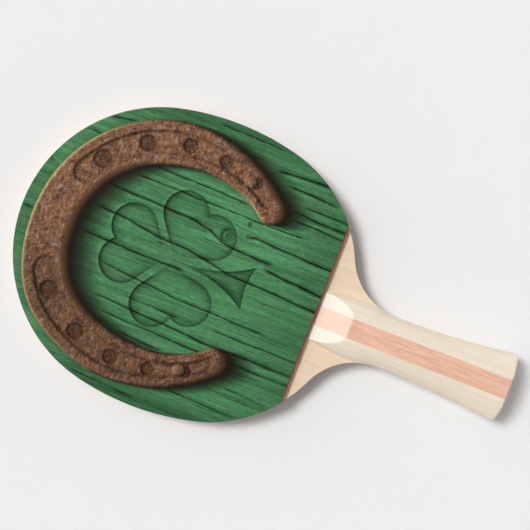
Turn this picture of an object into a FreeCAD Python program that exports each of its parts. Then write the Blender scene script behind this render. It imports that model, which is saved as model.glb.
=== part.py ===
"""Table tennis paddle: a five-ply wooden blade, a laminated oval handle and a rubber on each side.

The paddle lies flat. +X runs along it from the tip of the head to the butt of the handle, +Y is
its width and +Z points up out of the printed side, called the front. The origin is under the
middle of the bounding box, at the level of the flat of the back handle scales. Sizes are in mm.
"""
import FreeCAD, Part
import math
import os
import Sketcher

Vector = FreeCAD.Vector
PLANE_NORMAL_Z = Vector(0, 0, 1)

# Driving dimensions: alias, value, what it measures.
DIMENSIONS = [
    ("overall_length", 257.0, "tip of the head to the butt of the handle"),
    ("head_width", 150.0, "widest part of the head"),
    ("tip_radius", 73.6, "outline round the tip"),
    ("flank_radius", 131.4, "outline along the widest part of the head"),
    ("shoulder_radius", 69.0, "outline from the flank to the neck"),
    ("neck_radius", 32.0, "hollow where the head runs into the handle"),
    ("flare_radius", 467.0, "hollow side of the flared handle"),
    ("waist_width", 26.5, "narrowest part of the handle"),
    ("waist_from_tip", 193.4, "tip of the head to the narrowest part of the handle"),
    ("butt_edge_radius", 1.2, "rounding all round the butt"),
    ("core_thickness", 3.2, "core ply"),
    ("cross_thickness", 0.8, "each cross ply"),
    ("face_thickness", 0.6, "each face ply"),
    ("rubber_inset", 0.4, "bare wood left outside the rubber's edge"),
    ("cut_from_tip", 155.5, "tip of the head to the straight cut across each rubber"),
    ("glue_thickness", 0.1, "glue film under each sponge"),
    ("sponge_thickness", 1.5, "sponge under each topsheet"),
    ("sheet_thickness", 0.7, "smooth skin of each topsheet"),
    ("pimple_height", 0.8, "pimples on the inner side of each topsheet"),
    ("pimple_radius", 0.9, "radius of a pimple"),
    ("pimple_pitch", 3.4, "centre to centre of the pimples in a row"),
    ("print_thickness", 0.1, "layer of printed ink on the front topsheet"),
    ("print_edge_margin", 0.3, "unprinted rubber along the curved edge"),
    ("print_cut_margin", 1.2, "unprinted rubber along the straight cut"),
    ("handle_thickness", 23.0, "flat to flat over both handle scales"),
    ("oval_height", 24.8, "full height of the handle's oval before its flats are planed"),
    ("scale_gap", 0.2, "gap between the rubber's cut and the front end of the scales"),
    ("scale_ledge", 0.1, "blade edge left bare beside the scales"),
    ("scale_front_width", 25.0, "handle scale at its front end, on the blade"),
    ("scale_shoulder_width", 30.0, "handle scale where it stops widening, on the blade"),
    ("scale_shoulder_from_front", 21.5, "front end of the scale to where it stops widening"),
    ("neck_join_from_waist", 9.0, "where the scale's side joins the neck's hollow, ahead of the waist"),
    ("ramp_length", 17.3, "sloping front end of each handle scale"),
    ("ramp_toe", 0.4, "height of the scale's front end above the blade"),
    ("centre_strip_width", 10.0, "reddish strip along the middle of each scale"),
]

QUARTER_TURN_WEIGHT = math.sqrt(0.5)    # middle weight of a rational quarter ellipse
TOLERANCE = 1e-6                        # for telling points apart, in mm

doc = FreeCAD.newDocument("table_tennis_paddle")
sheet = doc.addObject("Spreadsheet::Sheet", "sheet")


def fill_sheet():
    """Write every driving dimension as a plain number with its alias."""
    for row, (alias, value, meaning) in enumerate(DIMENSIONS, start=1):
        sheet.set("A%d" % row, alias)
        sheet.set("B%d" % row, str(value))
        sheet.setAlias("B%d" % row, alias)
        sheet.set("C%d" % row, meaning)
    doc.recompute()


def size(alias):
    """A driving dimension as a number."""
    return float(sheet.get(alias))


def blade_half():
    """Half the thickness of the five plies."""
    return size("core_thickness") / 2 + size("cross_thickness") + size("face_thickness")


def bind(thing, prop, formula):
    """Tie a property to the sheet. In a formula, $name stands for the cell called name."""
    thing.setExpression(prop, formula.replace("$", "sheet."))


# Formulas that several pieces share: heights above the origin, and stations along X.
MID_Z = "$handle_thickness / 2"
BLADE_THICKNESS = "($core_thickness + 2 * $cross_thickness + 2 * $face_thickness)"
BLADE_TOP = MID_Z + " + " + BLADE_THICKNESS + " / 2"
SPONGE_TOP = BLADE_TOP + " + $glue_thickness + $sponge_thickness"
TIP_X = "-$overall_length / 2"
BUTT_X = "$overall_length / 2"
WAIST_X = TIP_X + " + $waist_from_tip"
CUT_X = TIP_X + " + $cut_from_tip"
SCALE_X = CUT_X + " + $scale_gap"


class Outline:
    """Centres, radii and joints of the arcs that make the +Y half of the paddle's outline.

    Moving in by an inset keeps the centres: outward-bulging arcs shrink, hollow ones grow.
    """

    def __init__(self, inset=0.0):
        half_width = size("head_width") / 2
        self.tip_x = -size("overall_length") / 2
        self.butt_x = -self.tip_x
        self.waist_x = self.tip_x + size("waist_from_tip")
        tip, flank = size("tip_radius"), size("flank_radius")
        shoulder, neck, flare = size("shoulder_radius"), size("neck_radius"), size("flare_radius")
        half_waist = size("waist_width") / 2

        self.tip_centre = Vector(self.tip_x + tip, 0, 0)
        flank_y = half_width - flank
        flank_x = self.tip_centre.x + math.sqrt((flank - tip) ** 2 - flank_y ** 2)
        self.flank_centre = Vector(flank_x, flank_y, 0)
        self.neck_centre = Vector(self.waist_x, half_waist + neck, 0)
        self.flare_centre = Vector(self.waist_x, half_waist + flare, 0)
        self.shoulder_centre = meeting_point(
            self.flank_centre, flank - shoulder, self.neck_centre, shoulder + neck)

        self.tip = Vector(self.tip_x + inset, 0, 0)
        self.tip_radius = tip - inset
        self.flank_radius = flank - inset
        self.shoulder_radius = shoulder - inset
        self.neck_radius = neck + inset
        self.flare_radius = flare + inset
        self.flank_start = along(self.flank_centre, self.tip_centre, self.flank_radius)
        self.shoulder_start = along(self.flank_centre, self.shoulder_centre, self.flank_radius)
        self.neck_start = along(self.shoulder_centre, self.neck_centre, self.shoulder_radius)
        self.waist = Vector(self.waist_x, half_waist - inset, 0)

    def shoulder_point(self, x):
        """The point of the shoulder arc at a station."""
        rise = math.sqrt(self.shoulder_radius ** 2 - (x - self.shoulder_centre.x) ** 2)
        return Vector(x, self.shoulder_centre.y + rise, 0)


def along(start, through, distance):
    """The point at a distance from start on the ray through another point."""
    return start + (through - start).normalize() * distance


def meeting_point(centre_a, radius_a, centre_b, radius_b):
    """Where two circles cross, on the side of the larger Y."""
    span = centre_b - centre_a
    gap = span.Length
    reach = (gap ** 2 + radius_a ** 2 - radius_b ** 2) / (2 * gap)
    lift = math.sqrt(radius_a ** 2 - reach ** 2)
    axis = span.normalize()
    side = Vector(-axis.y, axis.x, 0)
    crossings = [centre_a + axis * reach + side * lift, centre_a + axis * reach - side * lift]
    return max(crossings, key=lambda point: point.y)


def add_arc(sketch, centre, start, end):
    """Add the arc that runs counterclockwise from start to end; returns its index."""
    radius = (start - centre).Length
    circle = Part.Circle(centre, PLANE_NORMAL_Z, radius)
    first = math.atan2(start.y - centre.y, start.x - centre.x)
    last = math.atan2(end.y - centre.y, end.x - centre.x)
    return sketch.addGeometry(Part.ArcOfCircle(circle, first, last), False)


def add_line(sketch, start, end):
    return sketch.addGeometry(Part.LineSegment(start, end), False)


def constrain(sketch, *args):
    return sketch.addConstraint(Sketcher.Constraint(*args))


def dimension(sketch, name, formula, *args):
    """Add a named dimensional constraint and tie it to the sheet."""
    index = constrain(sketch, *args)
    sketch.renameConstraint(index, name)
    bind(sketch, "Constraints." + name, formula)


START, END, CENTRE = 1, 2, 3
ORIGIN = (-1, 1)
X_AXIS = -1


def with_inset(formula, inset, outward_bulge=True):
    """A radius formula moved in by an inset formula."""
    if not inset:
        return formula
    return formula + (" - " if outward_bulge else " + ") + "(" + inset + ")"


def inset_value(inset):
    """The number that an inset formula stands for."""
    terms = [term.strip().lstrip("$") for term in inset.split("+")] if inset else []
    return sum(size(term) for term in terms)


def add_head(sketch, outline, inset, shoulder_end):
    """Tip, flank and shoulder arcs from the axis to shoulder_end; returns their indices."""
    tip = add_arc(sketch, outline.tip_centre, outline.flank_start, outline.tip)
    flank = add_arc(sketch, outline.flank_centre, outline.shoulder_start, outline.flank_start)
    shoulder = add_arc(sketch, outline.shoulder_centre, shoulder_end, outline.shoulder_start)
    constrain(sketch, "Tangent", tip, START, flank, END)
    constrain(sketch, "Tangent", flank, START, shoulder, END)
    constrain(sketch, "PointOnObject", tip, CENTRE, X_AXIS)
    constrain(sketch, "PointOnObject", tip, END, X_AXIS)
    dimension(sketch, "tip_station", with_inset("$overall_length / 2", inset),
              "DistanceX", tip, END, *ORIGIN, -outline.tip.x)
    dimension(sketch, "tip_radius", with_inset("$tip_radius", inset),
              "Radius", tip, outline.tip_radius)
    dimension(sketch, "flank_radius", with_inset("$flank_radius", inset),
              "Radius", flank, outline.flank_radius)
    dimension(sketch, "shoulder_radius", with_inset("$shoulder_radius", inset),
              "Radius", shoulder, outline.shoulder_radius)
    dimension(sketch, "flank_drop", "$flank_radius - $head_width / 2",
              "DistanceY", flank, CENTRE, *ORIGIN, -outline.flank_centre.y)
    return tip, flank, shoulder


def draw_paddle_half(sketch):
    """Half of the whole paddle's outline: head, neck, flared handle and rounded butt corner."""
    outline = Outline()
    round_off = size("butt_edge_radius")
    tip, flank, shoulder = add_head(sketch, outline, "", outline.neck_start)
    neck = add_arc(sketch, outline.neck_centre, outline.neck_start, outline.waist)

    corner_x = outline.butt_x - round_off
    reach = outline.flare_radius + round_off
    corner_y = outline.flare_centre.y - math.sqrt(reach ** 2 - (corner_x - outline.waist_x) ** 2)
    corner_centre = Vector(corner_x, corner_y, 0)
    flare_end = along(outline.flare_centre, corner_centre, outline.flare_radius)
    butt_top = Vector(outline.butt_x, corner_y, 0)
    butt_middle = Vector(outline.butt_x, 0, 0)

    flare = add_arc(sketch, outline.flare_centre, outline.waist, flare_end)
    corner = add_arc(sketch, corner_centre, butt_top, flare_end)
    butt = add_line(sketch, butt_top, butt_middle)
    axis = add_line(sketch, butt_middle, outline.tip)

    constrain(sketch, "Tangent", shoulder, START, neck, START)
    constrain(sketch, "Tangent", neck, END, flare, START)
    constrain(sketch, "Tangent", flare, END, corner, END)
    constrain(sketch, "Tangent", corner, START, butt, START)
    constrain(sketch, "Coincident", butt, END, axis, START)
    constrain(sketch, "Coincident", axis, END, tip, END)
    constrain(sketch, "Horizontal", axis)
    constrain(sketch, "Vertical", butt)
    constrain(sketch, "Vertical", neck, CENTRE, flare, CENTRE)
    dimension(sketch, "neck_radius", "$neck_radius", "Radius", neck, outline.neck_radius)
    dimension(sketch, "flare_radius", "$flare_radius", "Radius", flare, outline.flare_radius)
    dimension(sketch, "corner_radius", "$butt_edge_radius", "Radius", corner, round_off)
    dimension(sketch, "waist_station", WAIST_X,
              "DistanceX", *ORIGIN, neck, CENTRE, outline.waist_x)
    dimension(sketch, "neck_height", "$waist_width / 2 + $neck_radius",
              "DistanceY", *ORIGIN, neck, CENTRE, outline.neck_centre.y)
    dimension(sketch, "butt_station", BUTT_X,
              "DistanceX", *ORIGIN, butt, END, outline.butt_x)


def draw_rubber_half(sketch, inset, cut_margin):
    """Half of a rubber's outline: the head moved in by an inset and cut straight across."""
    outline = Outline(inset_value(inset))
    cut_x = outline.tip_x + size("cut_from_tip") - inset_value(cut_margin)
    cut_end = outline.shoulder_point(cut_x)
    cut_foot = Vector(cut_x, 0, 0)
    tip, flank, shoulder = add_head(sketch, outline, inset, cut_end)
    cut = add_line(sketch, cut_end, cut_foot)
    axis = add_line(sketch, cut_foot, outline.tip)

    # The shoulder arc's centre is fixed by the neck, which the rubber itself doesn't reach.
    centre_x = outline.shoulder_centre.x
    station = constrain(sketch, "DistanceX", *ORIGIN, shoulder, CENTRE, centre_x)
    sketch.renameConstraint(station, "shoulder_station")
    constrain(sketch, "Coincident", shoulder, START, cut, START)
    constrain(sketch, "Coincident", cut, END, axis, START)
    constrain(sketch, "Coincident", axis, END, tip, END)
    constrain(sketch, "Horizontal", axis)
    constrain(sketch, "Vertical", cut)
    cut_formula = CUT_X + (" - " + cut_margin if cut_margin else "")
    dimension(sketch, "cut_station", cut_formula,
              "DistanceX", *ORIGIN, cut, END, cut_x)


def origin_plane(body, role):
    return next(item for item in body.Origin.OriginFeatures if item.Role == role)


def plate(label, thickness, bottom, draw):
    """A flat piece of one thickness: a half outline, padded and mirrored about the long axis."""
    body = doc.addObject("PartDesign::Body", label)
    body.Label = label
    sketch = body.newObject("Sketcher::SketchObject", label + "_outline")
    sketch.AttachmentSupport = (origin_plane(body, "XY_Plane"), [""])
    sketch.MapMode = "FlatFace"
    draw(sketch)
    pad = body.newObject("PartDesign::Pad", label + "_pad")
    pad.Profile = sketch
    bind(pad, "Length", thickness)
    doc.recompute()
    mirrored = body.newObject("PartDesign::Mirrored", label + "_mirrored")
    mirrored.Originals = [pad]
    mirrored.MirrorPlane = (sketch, ["H_Axis"])
    body.Tip = mirrored
    bind(body, "Placement.Base.z", bottom)
    return body


def paddle_plate(label, thickness, bottom):
    return plate(label, thickness, bottom, draw_paddle_half)


def rubber_plate(label, thickness, bottom, inset="$rubber_inset", cut_margin=""):
    return plate(label, thickness, bottom, lambda sketch: draw_rubber_half(sketch, inset, cut_margin))


def build_blade():
    """Five plies, each running in one piece from the tip to the butt."""
    plies = [
        ("back_face_ply", "$face_thickness"),
        ("back_cross_ply", "$cross_thickness"),
        ("core_ply", "$core_thickness"),
        ("front_cross_ply", "$cross_thickness"),
        ("front_face_ply", "$face_thickness"),
    ]
    bodies = []
    bottom = MID_Z + " - " + BLADE_THICKNESS + " / 2"
    for label, thickness in plies:
        bodies.append(paddle_plate(label, thickness, bottom))
        bottom = bottom + " + " + thickness
    return bodies


def pimple_centres(outline, cut_x):
    """A triangular grid of pimples, each wholly inside the rubber's outline."""
    pitch = size("pimple_pitch")
    reach = size("pimple_radius")
    row_step = pitch * math.sqrt(3) / 2
    rows = math.ceil(size("head_width") / 2 / row_step)
    columns = math.ceil(size("overall_length") / pitch)
    boundary = rubber_face(outline, cut_x, reach)
    centres = []
    for row in range(-rows, rows + 1):
        shift = pitch / 2 if row % 2 else 0.0
        for column in range(columns):
            point = Vector(outline.tip_x + shift + column * pitch, row * row_step, 0)
            if boundary.isInside(point, TOLERANCE, True):
                centres.append(point)
    return centres


def rubber_face(outline, cut_x, reach):
    """The rubber's whole face, moved in by a further reach."""
    inner = Outline(outline.tip.x - outline.tip_x + reach)
    cut_end = inner.shoulder_point(cut_x - reach)
    half = Part.Wire([
        arc_edge(inner.tip_centre, inner.tip, inner.flank_start),
        arc_edge(inner.flank_centre, inner.flank_start, inner.shoulder_start),
        arc_edge(inner.shoulder_centre, inner.shoulder_start, cut_end),
    ])
    other_half = half.mirror(Vector(0, 0, 0), Vector(0, 1, 0))
    cut = Part.LineSegment(cut_end, Vector(cut_end.x, -cut_end.y, 0)).toShape()
    return flat_face(*half.Edges, *other_half.Edges, cut)


def arc_edge(centre, start, end):
    """The shorter arc between two points of a circle."""
    middle = along(centre, (start + end) * 0.5, (start - centre).Length)
    return Part.Arc(start, middle, end).toShape()


def flat_face(*edges):
    """The flat face inside a closed run of edges, given in any order."""
    return Part.Face(Part.Wire(Part.sortEdges(edges)[0]))


def build_topsheet():
    """The front topsheet: a smooth skin with pimples pointing down at the sponge, in one piece."""
    outline = Outline(size("rubber_inset"))
    cut_x = outline.tip_x + size("cut_from_tip")
    sponge_top = blade_half() + size("glue_thickness") + size("sponge_thickness")
    height = size("pimple_height")
    bite = size("sheet_thickness") / 2
    skin = rubber_face(outline, cut_x, 0.0).extrude(Vector(0, 0, size("sheet_thickness")))
    skin.translate(Vector(0, 0, sponge_top + height))
    pimples = [
        Part.makeCylinder(size("pimple_radius"), height + bite, centre + Vector(0, 0, sponge_top))
        for centre in pimple_centres(outline, cut_x)
    ]
    topsheet = doc.addObject("Part::Feature", "front_topsheet")
    topsheet.Label = "front_topsheet"
    topsheet.Shape = skin.fuse(pimples)
    bind(topsheet, "Placement.Base.z", MID_Z)
    return topsheet


def mirror_to_back(source, label):
    """The same piece on the other side of the blade's middle plane."""
    mirrored = doc.addObject("Part::Mirroring", label)
    mirrored.Label = label
    mirrored.Source = source
    mirrored.Normal = PLANE_NORMAL_Z
    bind(mirrored, "Base.z", MID_Z)
    return mirrored


def build_rubbers():
    """Glue film, sponge and topsheet on each side, and the printed ink on the front."""
    blade_bottom = MID_Z + " - " + BLADE_THICKNESS + " / 2"
    print_inset = "$rubber_inset + $print_edge_margin"
    topsheet = build_topsheet()
    return [
        rubber_plate("front_glue_film", "$glue_thickness", BLADE_TOP),
        rubber_plate("front_sponge", "$sponge_thickness", BLADE_TOP + " + $glue_thickness"),
        topsheet,
        rubber_plate("front_print", "$print_thickness",
                     SPONGE_TOP + " + $pimple_height + $sheet_thickness",
                     print_inset, "$print_cut_margin"),
        rubber_plate("back_glue_film", "$glue_thickness", blade_bottom + " - $glue_thickness"),
        rubber_plate("back_sponge", "$sponge_thickness",
                     blade_bottom + " - $glue_thickness - $sponge_thickness"),
        mirror_to_back(topsheet, "back_topsheet"),
    ]


def scale_rail():
    """Plan of the scale's +Y edge where it meets the blade, from its front end to the butt.

    It widens from the front end to a shoulder, then follows the neck's hollow to the waist and
    the flare to the butt, always a ledge inside the blade's own outline.
    """
    outline = Outline(size("scale_ledge"))
    front_x = outline.tip_x + size("cut_from_tip") + size("scale_gap")
    shoulder_x = front_x + size("scale_shoulder_from_front")
    front_half = size("scale_front_width") / 2
    shoulder_half = size("scale_shoulder_width") / 2
    neck_reach = size("neck_join_from_waist")
    neck_depth = math.sqrt(outline.neck_radius ** 2 - neck_reach ** 2)
    flare_reach = outline.butt_x - outline.waist_x
    flare_depth = math.sqrt(outline.flare_radius ** 2 - flare_reach ** 2)
    points = [
        Vector(front_x, front_half, 0),
        Vector(shoulder_x, shoulder_half, 0),
        Vector(outline.waist_x - neck_reach, outline.neck_centre.y - neck_depth, 0),
        outline.waist,
        Vector(outline.butt_x, outline.flare_centre.y - flare_depth, 0),
    ]
    slopes = [
        (shoulder_half - front_half) / (shoulder_x - front_x),
        0.0,
        -neck_reach / neck_depth,
        0.0,
        flare_reach / flare_depth,
    ]
    rail = Part.BSplineCurve()
    rail.interpolate(Points=points, Tangents=[Vector(1, slope, 0) for slope in slopes],
                     TangentFlags=[True] * len(points))
    return rail


def oval_side(rail):
    """The handle's rounded side: a quarter ellipse of constant height carried along the rail.

    The rail gives the half width at the blade's surface; the oval is wider at mid-height.
    """
    half_height = size("oval_height") / 2
    spread = 1 / math.sqrt(1 - (blade_half() / half_height) ** 2)
    poles = []
    for pole in rail.getPoles():
        half_width = pole.y * spread
        poles.append([
            Vector(pole.x, half_width, 0),
            Vector(pole.x, half_width, half_height),
            Vector(pole.x, 0, half_height),
        ])
    weights = [[1, QUARTER_TURN_WEIGHT, 1]] * len(poles)
    surface = Part.BSplineSurface()
    surface.buildFromPolesMultsKnots(
        poles, rail.getMultiplicities(), [3, 3], rail.getKnots(), [0, 1],
        False, False, rail.Degree, 2, weights)
    return surface.toShape()


def straight_to(edge, point):
    """A straight edge from a point to the nearer end of an edge."""
    end = min(edge.Vertexes, key=lambda vertex: vertex.Point.distanceToPoint(point))
    return Part.LineSegment(point, end.Point).toShape()


def build_handle_oval():
    """The upper half of the handle's rounded form, its butt edge rounded off."""
    side = oval_side(scale_rail())
    foot = min(side.Edges, key=lambda edge: edge.BoundBox.ZMax)
    crest = min(side.Edges, key=lambda edge: edge.BoundBox.YMax)
    front_arc = min(side.Edges, key=lambda edge: edge.BoundBox.XMax)
    back_arc = max(side.Edges, key=lambda edge: edge.BoundBox.XMin)
    front, back = [Vector(arc.BoundBox.XMin, 0, 0) for arc in (front_arc, back_arc)]
    axis = Part.LineSegment(front, back).toShape()
    foot_front, foot_back = straight_to(foot, front), straight_to(foot, back)
    crest_front, crest_back = straight_to(crest, front), straight_to(crest, back)
    shell = Part.Shell([
        side,
        flat_face(axis, foot_front, foot, foot_back),
        flat_face(axis, crest_front, crest, crest_back),
        flat_face(foot_front, front_arc, crest_front),
        flat_face(foot_back, back_arc, crest_back),
    ])
    shell.sewShape()
    quarter = Part.Solid(shell)
    butt_edge = max(quarter.Edges, key=lambda edge: (edge.BoundBox.XMin, edge.Length))
    quarter = quarter.makeFillet(size("butt_edge_radius"), [butt_edge])
    other_quarter = quarter.mirror(Vector(0, 0, 0), Vector(0, 1, 0))
    oval = doc.addObject("Part::Feature", "handle_oval")
    oval.Shape = quarter.fuse(other_quarter).removeSplitter()
    bind(oval, "Placement.Base.z", MID_Z)
    return oval


def draw_scale_side(sketch):
    """Side view of a handle scale, X to the right and height above the blade upwards."""
    front_x = Outline().tip_x + size("cut_from_tip") + size("scale_gap")
    butt_x = size("overall_length") / 2
    top = size("handle_thickness") / 2 - blade_half()
    toe = size("ramp_toe")
    edge = size("butt_edge_radius")
    corners = [
        Vector(front_x, 0, 0),
        Vector(butt_x, 0, 0),
        Vector(butt_x, top - edge, 0),
        Vector(butt_x - edge, top, 0),
        Vector(front_x + size("ramp_length"), top, 0),
        Vector(front_x, toe, 0),
    ]
    base = add_line(sketch, corners[0], corners[1])
    butt = add_line(sketch, corners[1], corners[2])
    rounding = add_arc(sketch, Vector(butt_x - edge, top - edge, 0), corners[2], corners[3])
    flat = add_line(sketch, corners[3], corners[4])
    ramp = add_line(sketch, corners[4], corners[5])
    front = add_line(sketch, corners[5], corners[0])
    constrain(sketch, "Coincident", base, END, butt, START)
    constrain(sketch, "Tangent", butt, END, rounding, START)
    constrain(sketch, "Tangent", rounding, END, flat, START)
    constrain(sketch, "Coincident", flat, END, ramp, START)
    constrain(sketch, "Coincident", ramp, END, front, START)
    constrain(sketch, "Coincident", front, END, base, START)
    constrain(sketch, "Horizontal", base)
    constrain(sketch, "Horizontal", flat)
    constrain(sketch, "Vertical", butt)
    constrain(sketch, "Vertical", front)
    constrain(sketch, "PointOnObject", base, START, X_AXIS)
    dimension(sketch, "front_station", SCALE_X, "DistanceX", *ORIGIN, base, START, front_x)
    dimension(sketch, "butt_station", BUTT_X, "DistanceX", *ORIGIN, base, END, butt_x)
    dimension(sketch, "scale_height", "$handle_thickness / 2 - %s / 2" % BLADE_THICKNESS,
              "DistanceY", base, START, flat, END, top)
    dimension(sketch, "toe_height", "$ramp_toe", "DistanceY", front, END, front, START, toe)
    dimension(sketch, "edge_radius", "$butt_edge_radius", "Radius", rounding, edge)
    dimension(sketch, "ramp_length", "$ramp_length",
              "DistanceX", ramp, END, ramp, START, size("ramp_length"))


def build_scale_side():
    """A block with the scale's side view: flat on the blade, ramped in front, rounded at the butt."""
    body = doc.addObject("PartDesign::Body", "scale_side")
    sketch = body.newObject("Sketcher::SketchObject", "scale_side_view")
    sketch.AttachmentSupport = (origin_plane(body, "XZ_Plane"), [""])
    sketch.MapMode = "FlatFace"
    draw_scale_side(sketch)
    pad = body.newObject("PartDesign::Pad", "scale_side_pad")
    pad.Profile = sketch
    pad.Midplane = True
    bind(pad, "Length", "$head_width")
    body.Tip = pad
    bind(body, "Placement.Base.z", BLADE_TOP)
    return body


def strip_space(name, side):
    """The box that one strip of the scale is cut from: side is -1, 0 or 1 across the width."""
    box = doc.addObject("Part::Box", name)
    bind(box, "Length", "$overall_length")
    bind(box, "Height", "$handle_thickness")
    bind(box, "Placement.Base.x", TIP_X)
    if side == 0:
        bind(box, "Width", "$centre_strip_width")
        bind(box, "Placement.Base.y", "-$centre_strip_width / 2")
    else:
        bind(box, "Width", "$head_width / 2")
        near = "$centre_strip_width / 2"
        far = "-$head_width / 2 - $centre_strip_width / 2"
        bind(box, "Placement.Base.y", near if side > 0 else far)
    return box


def build_handle():
    """Two handle scales, each glued up from three strips of wood and then shaped together."""
    oval = build_handle_oval()
    side_view = build_scale_side()
    blank = doc.addObject("Part::Common", "scale_blank")
    blank.Base = oval
    blank.Tool = side_view
    strips = []
    for name, side in (("right", -1), ("centre", 0), ("left", 1)):
        strip = doc.addObject("Part::Common", "front_handle_%s_strip" % name)
        strip.Label = "front_handle_%s_strip" % name
        strip.Base = blank
        strip.Tool = strip_space("%s_strip_space" % name, side)
        strips.append(strip)
        strips.append(mirror_to_back(strip, "back_handle_%s_strip" % name))
    return strips


def check_document(pieces):
    """Stop unless every object recomputed and every piece is a sound solid."""
    for item in doc.Objects:
        if "Invalid" in item.State or "Error" in item.State:
            raise RuntimeError("%s failed: %s" % (item.Label, item.State))
    for piece in pieces:
        shape = piece.Shape
        if shape.isNull() or not shape.isValid() or shape.Volume <= 0:
            raise RuntimeError("%s has no sound shape" % piece.Label)


def write_pieces(pieces):
    os.makedirs("parts", exist_ok=True)
    for piece in pieces:
        piece.Shape.exportStep("parts/%s.step" % piece.Label)
        box = piece.Shape.BoundBox
        print("%-26s %9.2f mm3  x %8.2f %8.2f  y %7.2f %7.2f  z %6.2f %6.2f  solids %d" % (
            piece.Label, piece.Shape.Volume, box.XMin, box.XMax, box.YMin, box.YMax,
            box.ZMin, box.ZMax, len(piece.Shape.Solids)))


fill_sheet()
PIECES = build_blade() + build_rubbers() + build_handle()
doc.recompute()
check_document(PIECES)
write_pieces(PIECES)
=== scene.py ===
"""Looks of the table tennis paddle, built round its CAD frame.

Lengths are in metres in the paddle's own axes: +X from the tip of the head to the butt, +Y across
it, +Z out of the printed side. The printed picture is laid out in millimetres in the same X and Y.
"""

import math

import bpy
import numpy as np
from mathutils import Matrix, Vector


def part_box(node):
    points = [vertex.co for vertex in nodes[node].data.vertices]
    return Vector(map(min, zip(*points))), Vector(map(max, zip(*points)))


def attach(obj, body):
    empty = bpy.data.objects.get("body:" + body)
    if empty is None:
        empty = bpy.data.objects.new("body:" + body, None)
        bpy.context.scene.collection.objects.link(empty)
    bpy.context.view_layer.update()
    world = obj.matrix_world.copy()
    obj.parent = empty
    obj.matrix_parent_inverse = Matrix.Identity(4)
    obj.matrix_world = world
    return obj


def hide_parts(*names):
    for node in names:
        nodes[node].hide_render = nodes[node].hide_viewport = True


MM = 0.001
SEED = 7
DISPLAY_POWER = 2.2     # a printed tone raised to this power is its light, as on a display

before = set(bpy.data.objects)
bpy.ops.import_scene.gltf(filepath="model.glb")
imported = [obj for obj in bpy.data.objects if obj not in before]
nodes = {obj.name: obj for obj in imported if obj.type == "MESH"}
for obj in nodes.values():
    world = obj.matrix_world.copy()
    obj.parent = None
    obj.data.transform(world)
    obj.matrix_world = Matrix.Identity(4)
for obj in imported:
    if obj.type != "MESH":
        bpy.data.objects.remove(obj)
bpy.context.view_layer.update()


# ---------------------------------------------------------------- node tree shorthand

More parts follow.
